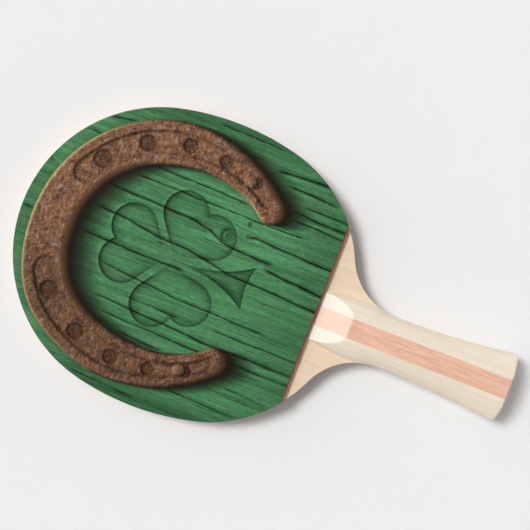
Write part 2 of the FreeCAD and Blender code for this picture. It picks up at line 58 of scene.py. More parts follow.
class Tree:
    """One material's node tree. Inputs are given as numbers, colours or other nodes' outputs."""

    def __init__(self, name):
        self.material = bpy.data.materials.new(name)
        self.material.use_nodes = True
        self.nodes = self.material.node_tree.nodes
        self.links = self.material.node_tree.links
        self.shader = self.nodes["Principled BSDF"]

    def plug(self, socket, value):
        if isinstance(value, bpy.types.NodeSocket):
            self.links.new(value, socket)
        elif value is not None:
            socket.default_value = value

    def add(self, kind, inputs=(), **settings):
        node = self.nodes.new(kind)
        for name, value in settings.items():
            setattr(node, name, value)
        for key, value in dict(inputs).items():
            self.plug(node.inputs[key], value)
        return node

    def place(self):
        """Coordinates in the paddle's own axes, in metres."""
        return self.add("ShaderNodeTexCoord").outputs["Object"]

    def attribute(self, name, output="Fac"):
        return self.add("ShaderNodeAttribute", attribute_name=name).outputs[output]

    def stretch(self, coordinates, scale, offset=(0, 0, 0)):
        inputs = {"Vector": coordinates, "Scale": scale, "Location": offset}
        return self.add("ShaderNodeMapping", inputs).outputs["Vector"]

    def noise(self, coordinates, scale=1.0, detail=4.0, roughness=0.5, distortion=0.0):
        inputs = {"Vector": coordinates, "Scale": scale, "Detail": detail,
                  "Roughness": roughness, "Distortion": distortion}
        return self.add("ShaderNodeTexNoise", inputs).outputs["Fac"]

    def cells(self, coordinates, scale):
        """Distance from the middle of the nearest of many cells."""
        inputs = {"Vector": coordinates, "Scale": scale}
        return self.add("ShaderNodeTexVoronoi", inputs).outputs["Distance"]

    def maths(self, operation, first, second):
        node = self.add("ShaderNodeMath", operation=operation)
        self.plug(node.inputs[0], first)
        self.plug(node.inputs[1], second)
        return node.outputs[0]

    def span(self, value, low, high, to_low=0.0, to_high=1.0, smooth=False):
        """Value from low..high brought to to_low..to_high, and held at the ends."""
        inputs = {"Value": value, "From Min": low, "From Max": high,
                  "To Min": to_low, "To Max": to_high}
        kind = "SMOOTHSTEP" if smooth else "LINEAR"
        return self.add("ShaderNodeMapRange", inputs, interpolation_type=kind).outputs["Result"]

    def mix(self, factor, first, second):
        """A colour between two. Sockets 6 and 7 of the mix node are its colours."""
        node = self.add("ShaderNodeMix", data_type="RGBA")
        self.plug(node.inputs["Factor"], factor)
        self.plug(node.inputs[6], opaque(first))
        self.plug(node.inputs[7], opaque(second))
        return node.outputs[2]

    def tone(self, colour, amount):
        """A colour as printed darker or lighter: the amount multiplies how bright it looks."""
        return self.shade(colour, self.maths("POWER", amount, DISPLAY_POWER))

    def shade(self, colour, amount):
        """A colour whose light is multiplied by an amount."""
        grey = self.add("ShaderNodeCombineXYZ", {"X": amount, "Y": amount, "Z": amount})
        scaled = self.add("ShaderNodeVectorMath", operation="MULTIPLY")
        self.plug(scaled.inputs[0], colour)
        self.plug(scaled.inputs[1], grey.outputs["Vector"])
        return scaled.outputs["Vector"]

    def mix_number(self, factor, first, second):
        """A number between two. Sockets 2 and 3 of the mix node are its numbers."""
        node = self.add("ShaderNodeMix", data_type="FLOAT")
        self.plug(node.inputs["Factor"], factor)
        self.plug(node.inputs[2], first)
        self.plug(node.inputs[3], second)
        return node.outputs[0]

    def lumps(self, millimetres, scale, depth):
        """Painted light on rough lumps: above 1 where they face the tip's side, below 1 behind."""
        step_x, step_y = 0.3, -0.06
        full_slope = 0.12
        places = [self.stretch(millimetres, (1, 1, 1), (side * step_x, side * step_y, 0))
                  for side in (1, -1)]
        beyond, before = [self.noise(place, scale, 3.0, 0.65) for place in places]
        slope = self.maths("SUBTRACT", beyond, before)
        return self.span(slope, -full_slope, full_slope, 1 - depth, 1 + depth)

    def relief(self, height, distance, strength=1.0):
        """Bump of that height in metres where the pattern goes from 0 to 1."""
        inputs = {"Height": height, "Distance": distance, "Strength": strength}
        return self.add("ShaderNodeBump", inputs).outputs["Normal"]

    def finish(self, colour, roughness, specular, normal=None):
        self.plug(self.shader.inputs["Base Color"], opaque(colour))
        self.plug(self.shader.inputs["Roughness"], roughness)
        self.plug(self.shader.inputs["Specular IOR Level"], specular)
        self.plug(self.shader.inputs["Normal"], normal)
        return self.material


def opaque(colour):
    """A colour with its alpha, or a socket as it is."""
    if isinstance(colour, (tuple, list)) and len(colour) == 3:
        return (*colour, 1.0)
    return colour


def paint(red, green, blue):
    """A paint colour of 0 to 255 steps as the linear colour that shaders take."""
    def linear(step):
        share = step / 255
        return share / 12.92 if share <= 0.04045 else ((share + 0.055) / 1.055) ** 2.4
    return linear(red), linear(green), linear(blue)


# ---------------------------------------------------------------- materials

def blend(first, second, share):
    return tuple((1 - share) * a + share * b for a, b in zip(first, second))


def darker(colour, share):
    return tuple(share * part for part in colour)


def wood(name, light, dark, along="X", pitch=0.9 * MM, stretch=40.0, depth=0.35, ramp_highlight_colour=None):
    """Sanded wood whose fibres run along X or Y: broad figure, growth lines and short pores.

    The last colour, if given, is a painted highlight: paler wood where the mesh's highlight attribute
    is 1, standing in for the light that falls on the handle's ramps from the tip's side.
    """
    tree = Tree(name)
    across = 1 / pitch
    run = across / stretch
    through = 0.12 * across
    scale = (run, across, through) if along == "X" else (across, run, through)
    fibres = tree.stretch(tree.place(), scale)
    figure = tree.noise(fibres, 0.12, 3.0, 0.6, 0.6)
    lines = tree.noise(fibres, 1.0, 4.0, 0.65, 0.3)
    pores = tree.noise(fibres, 2.6, 2.0, 0.5)
    lines_seen = tree.span(lines, 0.38, 0.62, smooth=True)
    pores_seen = tree.span(pores, 0.58, 0.70, 0.0, 0.45)
    colour = tree.mix(tree.span(figure, 0.3, 0.7), light, blend(light, dark, 0.15))
    colour = tree.mix(tree.maths("MULTIPLY", lines_seen, depth), colour, dark)
    colour = tree.mix(pores_seen, colour, dark)
    # Painted highlight: the ramps are drawn paler, for the light that falls on them.
    if ramp_highlight_colour:
        ramp_highlight = tree.maths("MULTIPLY", tree.attribute("ramp_highlight"), 0.75)
        colour = tree.mix(ramp_highlight, colour, ramp_highlight_colour)
    height = tree.maths("SUBTRACT", lines_seen, tree.maths("MULTIPLY", pores_seen, 2.0))
    return tree.finish(colour, 0.62, 0.3, tree.relief(height, 0.02 * MM, 0.5))


def foam(name, colour, pit):
    """Sponge: fine closed cells, some of them cut open at the surface."""
    tree = Tree(name)
    place = tree.place()
    cells = tree.cells(place, 1 / (0.35 * MM))
    open_cells = tree.span(cells, 0.15, 0.5, smooth=True)
    patches = tree.noise(place, 1 / (6 * MM), 3.0)
    body = tree.mix(tree.span(patches, 0.35, 0.65), colour, darker(colour, 0.9))
    seen = tree.mix(open_cells, pit, body)
    return tree.finish(seen, 0.9, 0.15, tree.relief(open_cells, 0.12 * MM))


def rubber(name, colour):
    """Smooth moulded rubber, faintly clouded, with a soft sheen."""
    tree = Tree(name)
    place = tree.place()
    clouds = tree.noise(place, 1 / (14 * MM), 4.0, 0.55)
    grain = tree.noise(place, 1 / (0.5 * MM), 3.0, 0.6)
    body = tree.mix(tree.span(clouds, 0.3, 0.7), colour, darker(colour, 0.78))
    roughness = tree.span(grain, 0.3, 0.7, 0.38, 0.5)
    return tree.finish(body, roughness, 0.5, tree.relief(grain, 0.01 * MM, 0.6))


def glue(name, colour):
    """Dried glue squeezed into a thin uneven line."""
    tree = Tree(name)
    beads = tree.noise(tree.place(), 1 / (1.5 * MM), 3.0)
    body = tree.mix(tree.span(beads, 0.35, 0.65), colour, darker(colour, 0.8))
    return tree.finish(body, 0.45, 0.5, tree.relief(beads, 0.05 * MM))


def make_materials():
    """The material for each of the record's slots, except the print's."""
    return {
        "core_wood": wood("core_wood", paint(222, 200, 166), paint(176, 142, 100)),
        "cross_wood": wood("cross_wood", paint(196, 160, 118), paint(146, 106, 70), along="Y"),
        "face_wood": wood("face_wood", paint(234, 213, 188), paint(208, 179, 142),
                          pitch=2.2 * MM, depth=0.25),
        "glue": glue("glue", paint(232, 222, 190)),
        "sponge": foam("sponge", paint(234, 206, 150), paint(196, 160, 104)),
        "red_rubber": rubber("red_rubber", paint(126, 42, 34)),
        # The last colour of each handle wood is its painted highlight on the ramps.
        "pale_handle_wood": wood("pale_handle_wood", paint(236, 224, 206), paint(212, 194, 166),
                                 pitch=1.4 * MM, depth=0.22, ramp_highlight_colour=paint(237, 233, 220)),
        "red_handle_wood": wood("red_handle_wood", paint(238, 194, 170), paint(206, 146, 122),
                                pitch=0.8 * MM, stretch=16.0, depth=0.5,
                                ramp_highlight_colour=paint(238, 212, 197)),
    }


# ---------------------------------------------------------------- the printed picture
#
# Old green planks with a rusty horseshoe lying on them and a clover leaf pressed into them. The
# picture is flat: its light and shadow are printed, and fall from the tip's side. All in mm.

LIGHT_X, LIGHT_Y = -0.99, -0.12     # from any point of the picture towards its painted light
LIGHT_ELEVATION = math.radians(46)

SHOE_CENTRE = -54.5                 # middle of the horseshoe's round part
TOE_RADIUS = 56.0                   # centre line round the toe
BRANCH_RADIUS = 66.0                # centre line of each branch, which bends in more gently
BRANCH_START = TOE_RADIUS * math.pi / 2
HEEL_RUN = 134.8                    # toe to the middle of a heel's round end, along the centre line
TOE_HALF_WIDTH = 11.2
HEEL_HALF_WIDTH = 7.2
TAPER_START = BRANCH_START - 20     # from here to the heel the shoe and its groove get narrower
BULGE, BULGE_RUN, BULGE_LENGTH = 2.2, -36.0, 23.0   # outward step of the centre line, and where
BULGE_WIDENING = 0.9                # how much wider each half of the shoe is there
RIM_WIDTH, RIM_WIDENING = 1.4, 4.4
RIM_HEIGHT, GROOVE_DEPTH, HOLE_DEPTH, NAIL_HEIGHT = 3.2, 0.75, 0.7, 1.9
GROOVE_START, GROOVE_END = 26.5, 130.0
GROOVE_HALF_WIDTH, GROOVE_TAPER = 6.1, 3.0
NAIL_HOLES = ((37.0, 4.9), (60.7, 4.5), (82.0, 4.1), (101.5, 3.7))    # run from the toe, radius
NAIL_RUN, NAIL_RADIUS = 117.0, 3.4

CLOVER_CENTRE = -50.0
LEAF_DIRECTIONS = (180.0, 69.0, -69.0)
LOBE_OUT, LOBE_ASIDE, LOBE_RADIUS = 22.2, 9.0, 11.4
MIDDLE_OUT, MIDDLE_RADIUS = 19.2, 9.8
LEAF_TIP = 2.5
STEM_START, STEM_END = -47.0, -8.8
STEM_ROOT_HALF_WIDTH, STEM_FLARE, STEM_HOLLOW = 0.3, 10.6, 1.4

KNOTS = ((-28.3, 20.8, 3.6), (-19.0, 30.0, 1.3), (-18.0, 24.0, 1.1))     # x, y, radius

# Long cracks between and in the planks: half width, then the points that each runs through.
# Those that end at x = 33 run on past the straight cut.
CRACKS = (
    (0.32, (-128, 25.2), (-118, 24.6)),
    (0.36, (-129, -0.5), (-121, -1.1)),
    (0.22, (-112, 46.5), (-98, 44.5)),
    (0.30, (-104, 55), (-88, 58)),
    (0.34, (-93, 24.2), (-60, 22.8), (-45, 22.3), (-36, 20), (-29, 16.6), (-20, 15.6), (0, 15.2)),
    (0.30, (-94, 12.3), (-75, 10.5), (-60, 8.2), (-45, 7.5), (-30, 5), (-20, 3), (0, 2.2), (33, 0.6)),
    (0.30, (-97, -2.3), (-60, -3.2), (-40, -3.4)),
    (0.22, (-84, -12.8), (-60, -15.6), (-40, -17.3), (-8, -18.3), (8, -18.4)),
    (0.20, (-66, -24.6), (-35, -26.3)),
    (0.18, (-20, -25.4), (33, -26.2)),
    (0.30, (-80, -29.2), (-56, -30.6), (-40, -31.5), (-20, -33), (33, -33.3)),
    (0.20, (-74, -36), (-50, -37), (-30, -37.7), (33, -38)),
    (0.24, (-64, -42.4), (-36, -44.2)),
    (0.44, (-6, 12), (8, 10.3), (33, 8.6)),
    (0.36, (-20, 23.2), (-14, 24.8), (0, 23.6), (33, 22.6)),
    (0.18, (-84, 33.4), (-60, 33), (-20, 32.4), (10, 32.8)),
    (0.18, (-76, 40), (-45, 39.8), (-22, 38.6)),
    (0.24, (-2, 39.8), (33, 38.6)),
    (0.30, (-4, 44.2), (10, 43), (33, 42)),
    (0.26, (2, 47.6), (33, 47)),
    (0.30, (-10, 54.8), (20, 53.4)),
    (0.36, (-18, 59.6), (14, 61.6)),
    (0.16, (-30, -61), (10, -62.2)),
    (0.16, (-4, -50), (22, -51.6)),
    (0.18, (-52, 71.5), (-14, 70)),
    (0.16, (-80, -68), (-40, -71)),
)
FINE_CRACKS = 190


def ease(low, high, value):
    """0 up to low, 1 from high, and smooth between them; low may be the larger."""
    share = np.clip((value - low) / (high - low), 0.0, 1.0)
    return share * share * (3 - 2 * share)


def shoe_place(x, y):
    """How far points lie along the horseshoe from the toe, and how far outside its centre line.

    One quarter of the toe is worked out further than the other, as on a hand-forged shoe.
    """
    across = abs(y)
    ahead = x - SHOE_CENTRE
    lift = BRANCH_RADIUS - TOE_RADIUS
    toe_run = TOE_RADIUS * np.arctan2(across, -ahead)
    branch_run = BRANCH_START + BRANCH_RADIUS * np.arctan2(ahead, across + lift)
    run = np.where(ahead < 0, toe_run, branch_run)
    offset = np.where(ahead < 0, np.hypot(ahead, across) - TOE_RADIUS,
                      np.hypot(ahead, across + lift) - BRANCH_RADIUS)
    return run, offset - BULGE * bulge(run, y)


def bulge(run, y):
    """Where the toe is worked out, 0 to 1."""
    return np.exp(-((run * np.sign(y) - BULGE_RUN) / BULGE_LENGTH) ** 2)


def band_edge(run, offset, start, end, half_width):
    """Distance outside a band with round ends; negative inside it."""
    beyond = np.maximum(np.maximum(start - run, run - end), 0.0)
    return np.hypot(beyond, offset) - half_width


def shoe_edge(x, y):
    """Distance outside the horseshoe; negative inside it."""
    run, offset = shoe_place(x, y)
    taper = ease(TAPER_START, HEEL_RUN, run)
    half_width = TOE_HALF_WIDTH + (HEEL_HALF_WIDTH - TOE_HALF_WIDTH) * taper
    half_width = half_width + BULGE_WIDENING * bulge(run, y)
    before_toe = -1.0
    return band_edge(run, offset, before_toe, HEEL_RUN, half_width)


def groove_edge(x, y):
    """Distance outside the nail groove, one in each branch."""
    run, offset = shoe_place(x, y)
    half_width = GROOVE_HALF_WIDTH - GROOVE_TAPER * ease(TAPER_START, GROOVE_END, run)
    return band_edge(run, offset, GROOVE_START, GROOVE_END, half_width)


def spot_edge(x, y, spot_run, radius):
    """Distance outside a round spot on the horseshoe's centre line, on both branches."""
    run, offset = shoe_place(x, y)
    return np.hypot(run - spot_run, offset) - radius


def facing_light(x, y, edge):
    """How squarely an outline faces the painted light at each point: 1 towards it, -1 away."""
    step = 0.5
    slope_x = (edge(x + step, y) - edge(x - step, y)) / (2 * step)
    slope_y = (edge(x, y + step) - edge(x, y - step)) / (2 * step)
    return np.clip(slope_x * LIGHT_X + slope_y * LIGHT_Y, -1.0, 1.0)


def away_from_light(x, y, edge):
    return np.maximum(-facing_light(x, y, edge), 0.0)


def toward_light(x, y, edge):
    return np.maximum(facing_light(x, y, edge), 0.0)


def worn_edge(x, y, edge):
    """A thin bright line along the horseshoe's edge where it faces the painted light, 0 to 1."""
    return ease(0.1, 0.7, toward_light(x, y, shoe_edge)) * np.exp(-((edge + 0.35) / 0.6) ** 2)


def shoe_rim_width(x, y):
    """The sloping side seen round the horseshoe: wide where it faces away from the light."""
    return RIM_WIDTH + RIM_WIDENING * away_from_light(x, y, shoe_edge)


def dome(x, y):
    """The round head of a nail, one in each branch: 0 at its edge and 1 at its middle."""
    away = spot_edge(x, y, NAIL_RUN, 0.0) / NAIL_RADIUS
    return np.sqrt(np.clip(1 - away ** 2, 0.0, 1.0))


def shoe_height(x, y):
    """Painted relief of the horseshoe: rounded rim, nail groove, holes and one nail a branch."""
    inside = np.clip(-shoe_edge(x, y) / shoe_rim_width(x, y), 0.0, 1.0)
    height = RIM_HEIGHT * np.sqrt(1 - (1 - inside) ** 2)
    height = height - GROOVE_DEPTH * ease(0.8, -1.4, groove_edge(x, y))
    for run, radius in NAIL_HOLES:
        height = height - HOLE_DEPTH * ease(0.4, -1.6, spot_edge(x, y, run, radius))
    return height + NAIL_HEIGHT * dome(x, y)


def shoe_gloom(x, y):
    """How dark the horseshoe's hollows are: the groove's edge, the holes and beside each nail."""
    groove = groove_edge(x, y)
    wall = 0.44 + 0.36 * toward_light(x, y, groove_edge)
    gloom = 0.06 * ease(0.3, -0.6, groove) + wall * np.exp(-((groove + 0.5) / 0.9) ** 2)
    for run, radius in NAIL_HOLES:
        hole = spot_edge(x, y, run, radius)
        floor = 0.58 * ease(0.4, -0.6, hole) + 0.26 * np.exp(-((hole + 0.7) / 0.7) ** 2)
        gloom = np.maximum(gloom, floor)
    shade = 0.9 * NAIL_RADIUS
    beyond_nail = dome(x + LIGHT_X * shade, y + LIGHT_Y * shade) * (dome(x, y) == 0)
    return np.maximum(gloom, 0.85 * ease(0.0, 0.5, beyond_nail))


def leaf_edge(x, y, direction):
    """Distance outside one heart-shaped leaf: two round lobes, a round middle that fills the
    notch between them, and straight sides to its tip."""
    turn = math.radians(direction)
    out = (x - CLOVER_CENTRE) * math.cos(turn) + y * math.sin(turn)
    aside = abs(y * math.cos(turn) - (x - CLOVER_CENTRE) * math.sin(turn))
    lobe = np.hypot(out - LOBE_OUT, aside - LOBE_ASIDE) - LOBE_RADIUS
    reach = math.hypot(LOBE_OUT - LEAF_TIP, LOBE_ASIDE)
    side_length = math.sqrt(reach ** 2 - LOBE_RADIUS ** 2)
    slope = math.atan2(LOBE_ASIDE, LOBE_OUT - LEAF_TIP) + math.asin(LOBE_RADIUS / reach)
    along = (out - LEAF_TIP) * math.cos(slope) + aside * math.sin(slope)
    beside = aside * math.cos(slope) - (out - LEAF_TIP) * math.sin(slope)
    sides = np.maximum(np.maximum(beside, along - side_length), out - LOBE_OUT)
    middle = np.hypot(out - MIDDLE_OUT, aside) - MIDDLE_RADIUS
    return np.minimum(np.minimum(lobe, sides), middle)


def stem_edge(x, y):
    """Distance outside the stem, which flares to a slightly hollow end."""
    share = np.clip((x - STEM_START) / (STEM_END - STEM_START), 0.0, 1.0)
    half_width = STEM_ROOT_HALF_WIDTH + STEM_FLARE * share ** 2.5
    hollow_end = STEM_END - STEM_HOLLOW * (1 - np.clip(y / STEM_FLARE, -1, 1) ** 2)
    return np.maximum(np.maximum(abs(y) - half_width, x - hollow_end), STEM_START - x)


def clover_edge(x, y):
    leaves = [leaf_edge(x, y, direction) for direction in LEAF_DIRECTIONS]
    return np.minimum.reduce(leaves + [stem_edge(x, y)])


def clover_light(x, y):
    """Brightness of the planks where the clover is pressed in: its walls throw a soft shade
    inwards, deepest on the side of the light, where the lip outside also catches the light. The
    leaves run out to nothing where they meet, and the stem is deepest at its end."""
    edge = clover_edge(x, y)
    near_side = toward_light(x, y, clover_edge)
    inside = ease(0.2, -0.2, edge)
    wall = (0.34 + 0.12 * near_side) * np.exp(np.minimum(edge, 0.0) / 2.3)
    line = (0.10 + 0.22 * near_side) * np.exp(-((edge + 0.3) / 0.6) ** 2)
    lip = (0.03 + 0.11 * near_side) * np.exp(-((edge - 0.7) / 0.5) ** 2)
    stem_end = 0.10 * inside * ease(-30.0, -14.0, x) * ease(2.0, -2.0, stem_edge(x, y))
    pressed = 0.1 + 0.9 * ease(2.0, 19.0, np.hypot(x - CLOVER_CENTRE, y))
    return 1.0 - pressed * (inside * wall + line - lip) - stem_end


def painted_light(x, y, height):
    """Brightness of a relief in the painted light: 1 where it is level, 0.4 in its own shade."""
    reach = 0.3
    slope_x = (height(x + reach, y) - height(x - reach, y)) / (2 * reach)
    slope_y = (height(x, y + reach) - height(x, y - reach)) / (2 * reach)
    rise = math.tan(LIGHT_ELEVATION)
    facing = rise - slope_x * LIGHT_X - slope_y * LIGHT_Y
    facing = facing / rise / np.sqrt(1 + slope_x ** 2 + slope_y ** 2)
    return 0.4 + 0.6 * np.clip(facing, 0.0, 1.6)


def cast_shadow(x, y):
    """Soft shadow that the horseshoe throws on the planks, 0 to 1."""
    length, steps = 15.5, 14
    shadow = np.zeros_like(x)
    for step in range(1, steps + 1):
        share = step / steps
        edge = shoe_edge(x + LIGHT_X * length * share, y + LIGHT_Y * length * share)
        shadow = np.maximum(shadow, (1 - share) * ease(0.6, -0.6, edge))
    contact = 0.3 * np.exp(-np.maximum(shoe_edge(x, y), 0.0) / 1.2)
    return 1 - (1 - shadow) ** 2.1 * (1 - contact)


def grain_level(x, y):
    """Y of each point's wood fibre far from any knot: fibres part and run round the knots."""
    level = y.copy()
    for knot_x, knot_y, radius in KNOTS:
        beside = (y - knot_y) / radius
        near = np.exp(-((x - knot_x) / (3.2 * radius)) ** 2 - abs(beside) / 2.2)
        level -= 0.9 * radius * np.tanh(1.5 * beside) * near
    return level


def waver(x, rng, size):
    """A smooth random line: how far a crack strays from its course at each x."""
    stray = np.zeros_like(x)
    for wavelength in (37.0, 17.0, 8.0, 3.7):
        stray += wavelength / 37.0 * np.sin(2 * math.pi * (x / wavelength + rng.random()))
    return size * stray


def crack_depths(x, y):
    """Darkness of the cracks, 0 to 1, and of the lit edge just below each of them."""
    rng = np.random.default_rng(SEED)
    dark, lit = np.zeros_like(x), np.zeros_like(x)

    def open_crack(half_width, xs, ys, depth):
        reach = 4.0
        near = (x > xs[0]) & (x < xs[-1]) & (y > min(ys) - reach) & (y < max(ys) + reach)
        run = x[near]
        course = np.interp(run, xs, ys) + waver(run, rng, 0.13)
        ends = depth * ease(xs[0], xs[0] + 5, run) * ease(xs[-1], xs[-1] - 5, run)
        gape = half_width * (0.85 + 0.9 * abs(waver(run, rng, 0.5)))
        drop = (y[near] - course) / gape
        gap = ends * np.maximum(np.exp(-drop ** 2), 0.32 * np.exp(-(drop / 3.2) ** 2))
        dark[near] = np.maximum(dark[near], gap)
        lit[near] = np.maximum(lit[near], ends * np.exp(-((drop + 3.4) / 1.6) ** 2))

    for half_width, *points in CRACKS:
        xs, ys = zip(*points)
        open_crack(half_width, xs, ys, 1.0)
    for _ in range(FINE_CRACKS):
        start, length = rng.uniform(-128, 24), rng.uniform(5, 26)
        level, tilt = rng.uniform(-73, 73), rng.uniform(-0.06, 0.03)
        open_crack(rng.uniform(0.08, 0.16), (start, start + length),
                   (level, level + tilt * length), rng.uniform(0.2, 0.6))
    return dark, lit


def knot_depth(x, y):
    """Darkness of the knots: an upright ring, darkest on the side of the light, and an eye."""
    dark = np.zeros_like(x)
    for knot_x, knot_y, radius in KNOTS:
        out_x, out_y = (x - knot_x) / (0.9 * radius), (y - knot_y) / (1.2 * radius)
        reach = np.hypot(out_x, out_y)
        near_side = 0.5 + 0.5 * (out_x * LIGHT_X + out_y * LIGHT_Y) / np.maximum(reach, 0.1)
        ring = (0.22 + 0.40 * near_side) * np.exp(-((reach - 0.7) / 0.28) ** 2)
        eye = 0.55 * np.exp(-((out_x - 0.15) / 0.25) ** 2 - (out_y / 0.4) ** 2)
        dark = np.maximum(dark, np.maximum(ring, eye))
    return dark


def plank_tone(x, y):
    """Broad light and dark of the planks: brightest round the clover, darker to the rim."""
    middle = 0.11 * np.exp(-((x + 20) / 24) ** 2 - ((y - 26) / 24) ** 2)
    rim = 0.20 * ease(54, 76, y) + 0.30 * ease(-58, -76, y)
    ends = 0.10 * ease(-8, 28, x) + 0.08 * ease(-116, -128, x)
    return 1.0 + middle - rim - ends


def branch_tone(y):
    """The lower branch of the horseshoe is printed a little darker than the upper one."""
    return 0.97 + 0.07 * np.tanh((y + 16) / 14)


def picture(x, y):
    """Everything that the print's material needs to know at each point, by attribute name."""
    edge = shoe_edge(x, y)
    rim_share = np.clip(-edge / shoe_rim_width(x, y), 0.0, 1.0)
    turned_away = away_from_light(x, y, shoe_edge)
    crack, lit = crack_depths(x, y)
    return {
        "shoe_edge": edge,
        "shoe_light": painted_light(x, y, shoe_height) * branch_tone(y),
        "gloom": shoe_gloom(x, y),
        "wall": ease(0.25, 0.75, turned_away) * ease(1.0, 0.5, rim_share),
        "glint": np.maximum(worn_edge(x, y, edge), 0.15 * ease(0.1, 0.6, dome(x, y))),
        "deck_light": plank_tone(x, y) * clover_light(x, y),
        "shadow": cast_shadow(x, y),
        "crack": np.maximum(crack, knot_depth(x, y)),
        "lit": lit,
        "grain": grain_level(x, y),
    }


# ---------------------------------------------------------------- meshes

def new_piece(name, points, faces, slot, replaced):
    """A mesh piece that stands for one CAD node and takes the material of a record's slot."""
    mesh = bpy.data.meshes.new(name)
    mesh.from_pydata(points.tolist(), [], faces)
    mesh.materials.append(materials[slot])
    piece = bpy.data.objects.new(name, mesh)
    bpy.context.scene.collection.objects.link(piece)
    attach(piece, "root")
    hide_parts(replaced)
    return piece


def vertex_places(node):
    places = np.empty(3 * len(nodes[node].data.vertices))
    nodes[node].data.vertices.foreach_get("co", places)
    return places.reshape(-1, 3)


def half_widths(node, level):
    """A CAD node's outline on the +Y side at a level: stations along X and the half width there."""
    places = vertex_places(node)
    rim = places[abs(places[:, 2] - level) < 0.01 * MM]
    stations = np.unique(np.round(rim[:, 0], 7))
    reach = np.array([rim[abs(rim[:, 0] - station) < 1e-6, 1].max() for station in stations])
    outer = reach > 0
    return stations[outer], reach[outer]


def quads(*corners):
    """Four-sided faces. Each of the four arrays has one corner's point number for every face."""
    return np.stack([corner.ravel() for corner in corners], axis=1).tolist()


def set_attribute(mesh, name, values):
    if values.ndim == 1:
        mesh.attributes.new(name, "FLOAT", "POINT").data.foreach_set("value", values)
    else:
        mesh.attributes.new(name, "FLOAT_VECTOR", "POINT").data.foreach_set("vector", values.ravel())


PRINT_SPREAD = 0.3 * MM     # the ink runs out this far beyond its CAD layer at the curved rim
CUT_SPREAD = 0.5 * MM       # and this far at the straight cut
PRINT_ROWS = 370            # mesh lines side by side across the print
MESH_STEP = 0.55 * MM       # mesh spacing along the horseshoe and the clover
ROUND_TIP = 8 * MM          # within this length of the tip the spacing shrinks towards it
DRAWING_END = -3 * MM       # past this X there are only planks, on a slightly wider spacing


def print_stations(low, high):
    """X of the mesh lines that run across the print."""
    tip = ROUND_TIP * (1 - np.cos(np.linspace(0.0, math.pi / 2, 18)))
    drawing = np.arange(tip[-1] + MESH_STEP, DRAWING_END - low, MESH_STEP)
    planks = np.linspace(drawing[-1], high - low, 34)[1:]
    return low + np.concatenate([tip, drawing, planks])


def print_grid():
    """Points of the print's top, station by station, and the print's thickness."""
    low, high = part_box("front_print")
    stations, reach = half_widths("front_print", high.z)
    x = print_stations(low.x, high.x)
    half = np.interp(x, np.append(low.x, stations), np.append(0.0, reach))
    half[0] = 0.2 * half[1]     # the tip is a short edge: at a point, faces would have no area
    longer = 1 + (PRINT_SPREAD + CUT_SPREAD) / (high.x - low.x)
    spread_x = low.x - PRINT_SPREAD + (x - low.x) * longer
    spread_half = half * (1 + PRINT_SPREAD / high.y)
    share = np.linspace(-1.0, 1.0, PRINT_ROWS)
    grid_x, grid_y = np.meshgrid(spread_x, share)[0].T, spread_half[:, None] * share
    top = np.column_stack([grid_x.ravel(), grid_y.ravel(), np.full(grid_x.size, high.z)])
    return top, high.z - low.z


def make_printed_face():
    """The printed layer: a fine grid that fills the rubber's outline and carries the picture."""
    top, thickness = print_grid()
    index = np.arange(len(top)).reshape(-1, PRINT_ROWS)
    rim = np.concatenate([index[:, 0], index[-1, 1:-1], index[::-1, -1], index[0, -2:0:-1]])
    below = len(top) + np.arange(len(rim))
    points = np.vstack([top, top[rim] - (0, 0, thickness)])
    face = quads(index[:-1, :-1], index[1:, :-1], index[1:, 1:], index[:-1, 1:])
    walls = quads(np.roll(rim, -1), rim, below, np.roll(below, -1))
    piece = new_piece("printed_face", points, [*face, *walls, below.tolist()[::-1]],
                      "printed_ink", "front_print")
    places = points / MM
    values = picture(places[:, 0], places[:, 1])
    grain = np.column_stack([places[:, 0], values.pop("grain"), np.zeros(len(places))])
    set_attribute(piece.data, "grain", grain)
    for name, value in values.items():
        set_attribute(piece.data, name, value)


# Handle: an oval of constant height, planed flat above and below and ramped at its front end.
OVAL_HALF_HEIGHT = 12.4 * MM
BUTT_ROUNDING = 1.2 * MM
SANDED_EDGE = 0.3 * MM      # how far the sanding softens the edges of flats and ramps
HANDLE_STATIONS = 200       # sections along the handle, up to the rounding of its butt
SIDE_POINTS, TOP_POINTS = 28, 15    # points over a side strip and over a centre strip


def soft_least(first, second, softness):
    """The smaller of two heights, with the corner between them rounded off."""
    blend = np.maximum(softness - abs(first - second), 0.0) / softness
    return np.minimum(first, second) - blend ** 2 * softness / 4


def smoothed(values, passes=12):
    """Evenly spaced values with their small kinks evened out."""
    for _ in range(passes):
        values[1:-1] = 0.25 * values[:-2] + 0.5 * values[1:-1] + 0.25 * values[2:]
    return values


